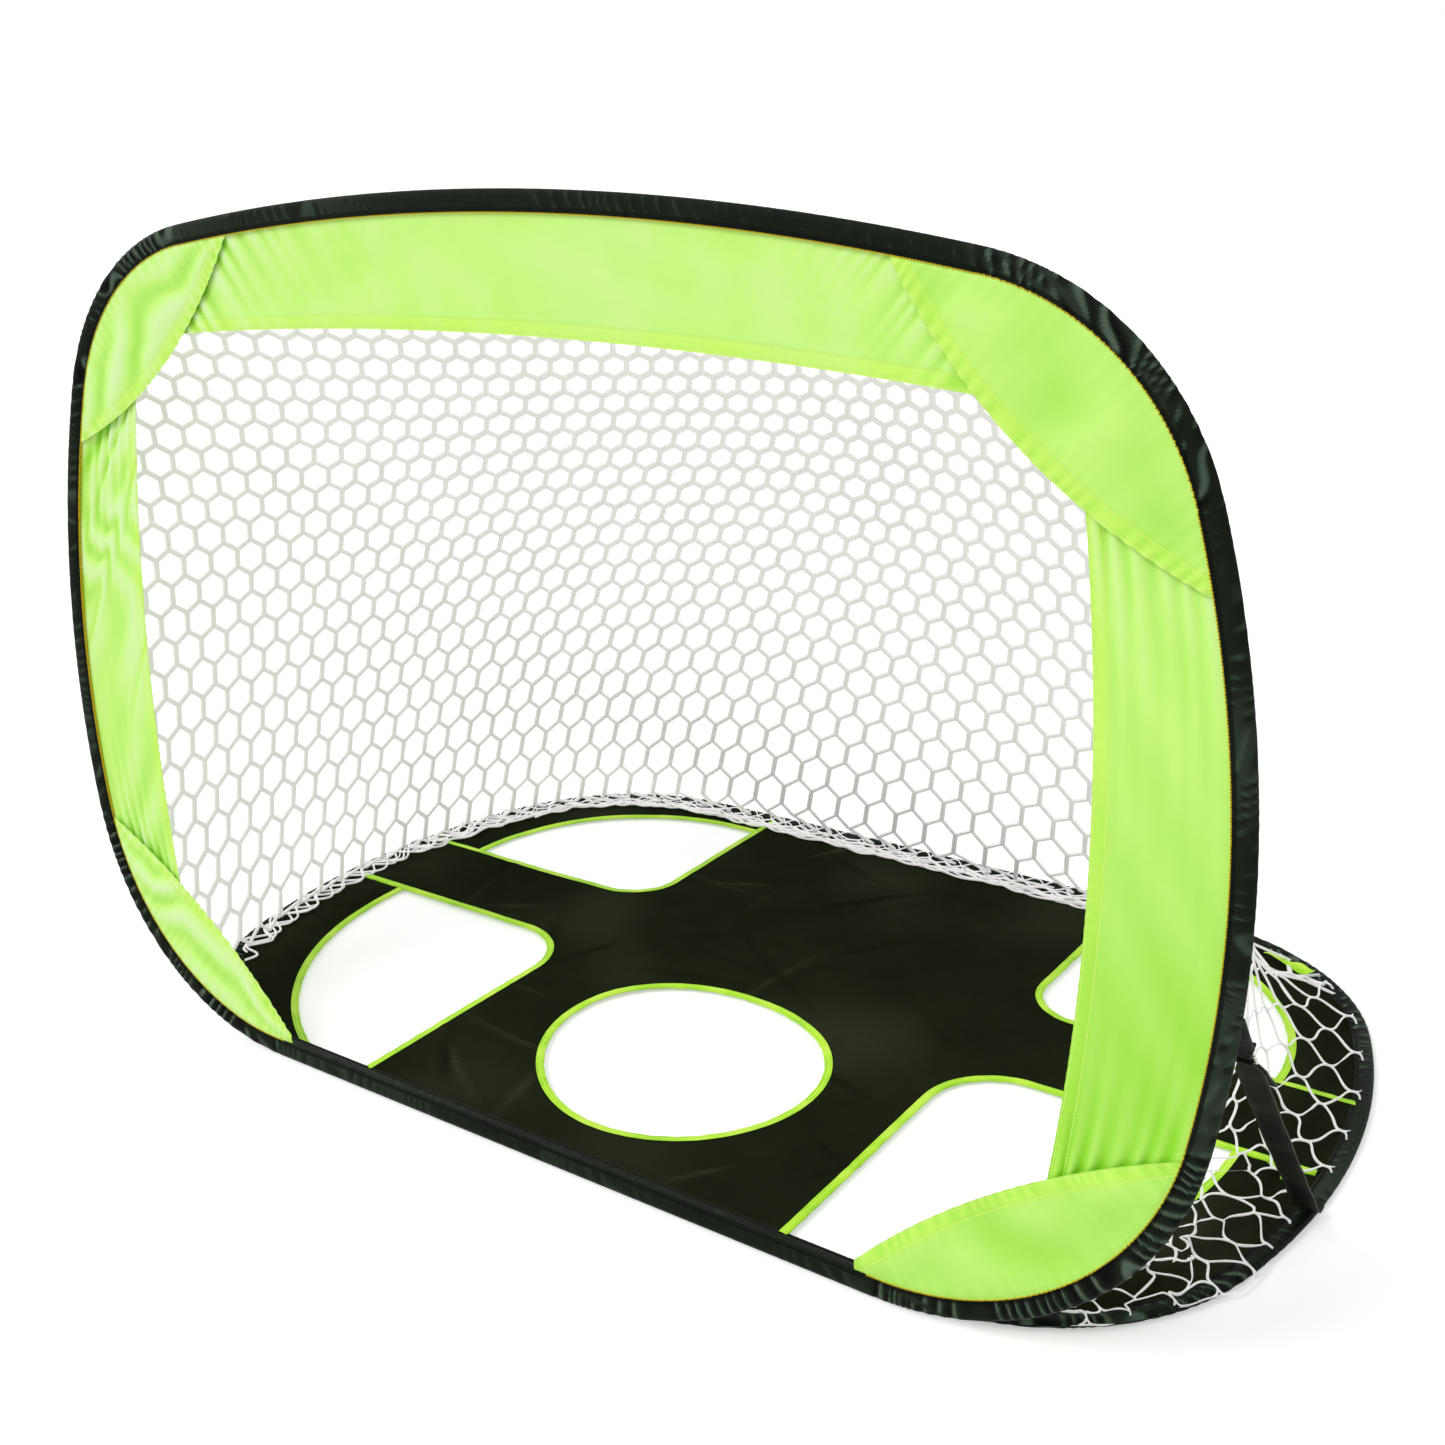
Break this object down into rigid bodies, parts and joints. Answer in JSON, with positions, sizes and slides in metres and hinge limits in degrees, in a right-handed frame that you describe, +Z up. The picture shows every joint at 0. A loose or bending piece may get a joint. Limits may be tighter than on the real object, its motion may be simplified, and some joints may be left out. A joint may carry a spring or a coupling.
{
  "type": "hockey goal net",
  "caption": "Pop-up play goal: an upright spring hoop with fabric bands, hinged to a ground hoop with a target sheet, closed behind by a net.",
  "frame": {"origin": "on the ground, in the middle of the goal line, under the centre of the ground sleeve's front straight", "axes": "+X along the goal line, to the right as seen from in front of the mouth, +Y to the rear, +Z up"},
  "size_m": [1.219, 0.7763, 0.8342],
  "materials": {
    "black_cloth": "satin",
    "neon_cloth": "satin",
    "neon_binding": "satin",
    "net_twine": "matte",
    "black_webbing": "matte",
    "spring_steel": "satin",
    "plated_steel": "polished"
  },
  "bodies": {
    "ground_frame": {"ground_wire": "spring_steel", "ground_ferrule": "spring_steel", "ground_sleeve": "black_cloth", "target_cross": "black_cloth", "corner_front_left": "black_cloth", "corner_front_right": "black_cloth", "corner_rear_left": "black_cloth", "corner_rear_right": "black_cloth", "round_hole_binding": "neon_binding", "cross_binding_front_left": "neon_binding", "cross_binding_front_right": "neon_binding", "cross_binding_rear_left": "neon_binding", "cross_binding_rear_right": "neon_binding", "corner_binding_front_left": "neon_binding", "corner_binding_front_right": "neon_binding", "corner_binding_rear_left": "neon_binding", "corner_binding_rear_right": "neon_binding", "hinge_tape": "black_cloth", "net": "net_twine", "net_ties": "neon_binding", "right_strap": "black_webbing"},
    "front_frame": {"front_wire": "spring_steel", "front_ferrule": "spring_steel", "front_sleeve": "black_cloth", "top_band": "neon_cloth", "left_band": "neon_cloth", "right_band": "neon_cloth", "panel_top_left": "neon_cloth", "panel_top_right": "neon_cloth", "panel_low_left": "neon_cloth", "panel_low_right": "neon_cloth"},
    "tab_body": {"right_tab": "black_webbing", "right_rivet": "plated_steel", "right_ring": "plated_steel"}
  },
  "joints": [
    {"name": "front_fold", "type": "hinge", "parent": "ground_frame", "child": "front_frame", "pos_m": [0, -0.0096, 0.009], "axis": [1, 0, 0], "range_deg": [-85, 0], "stiffness_Nm_per_rad": 1.6, "springref_deg": 20.05, "deforming": ["net", "right_strap"]},
    {"name": "tab_swing", "type": "hinge", "parent": "front_frame", "child": "tab_body", "pos_m": [0.596, 0.0053, 0.3176], "axis": [1, 0, 0], "range_deg": [-38.25, 0]}
  ],
  "couplings": [
    {"joint": "tab_swing", "follows": "front_fold", "ratio": 0.45}
  ]
}
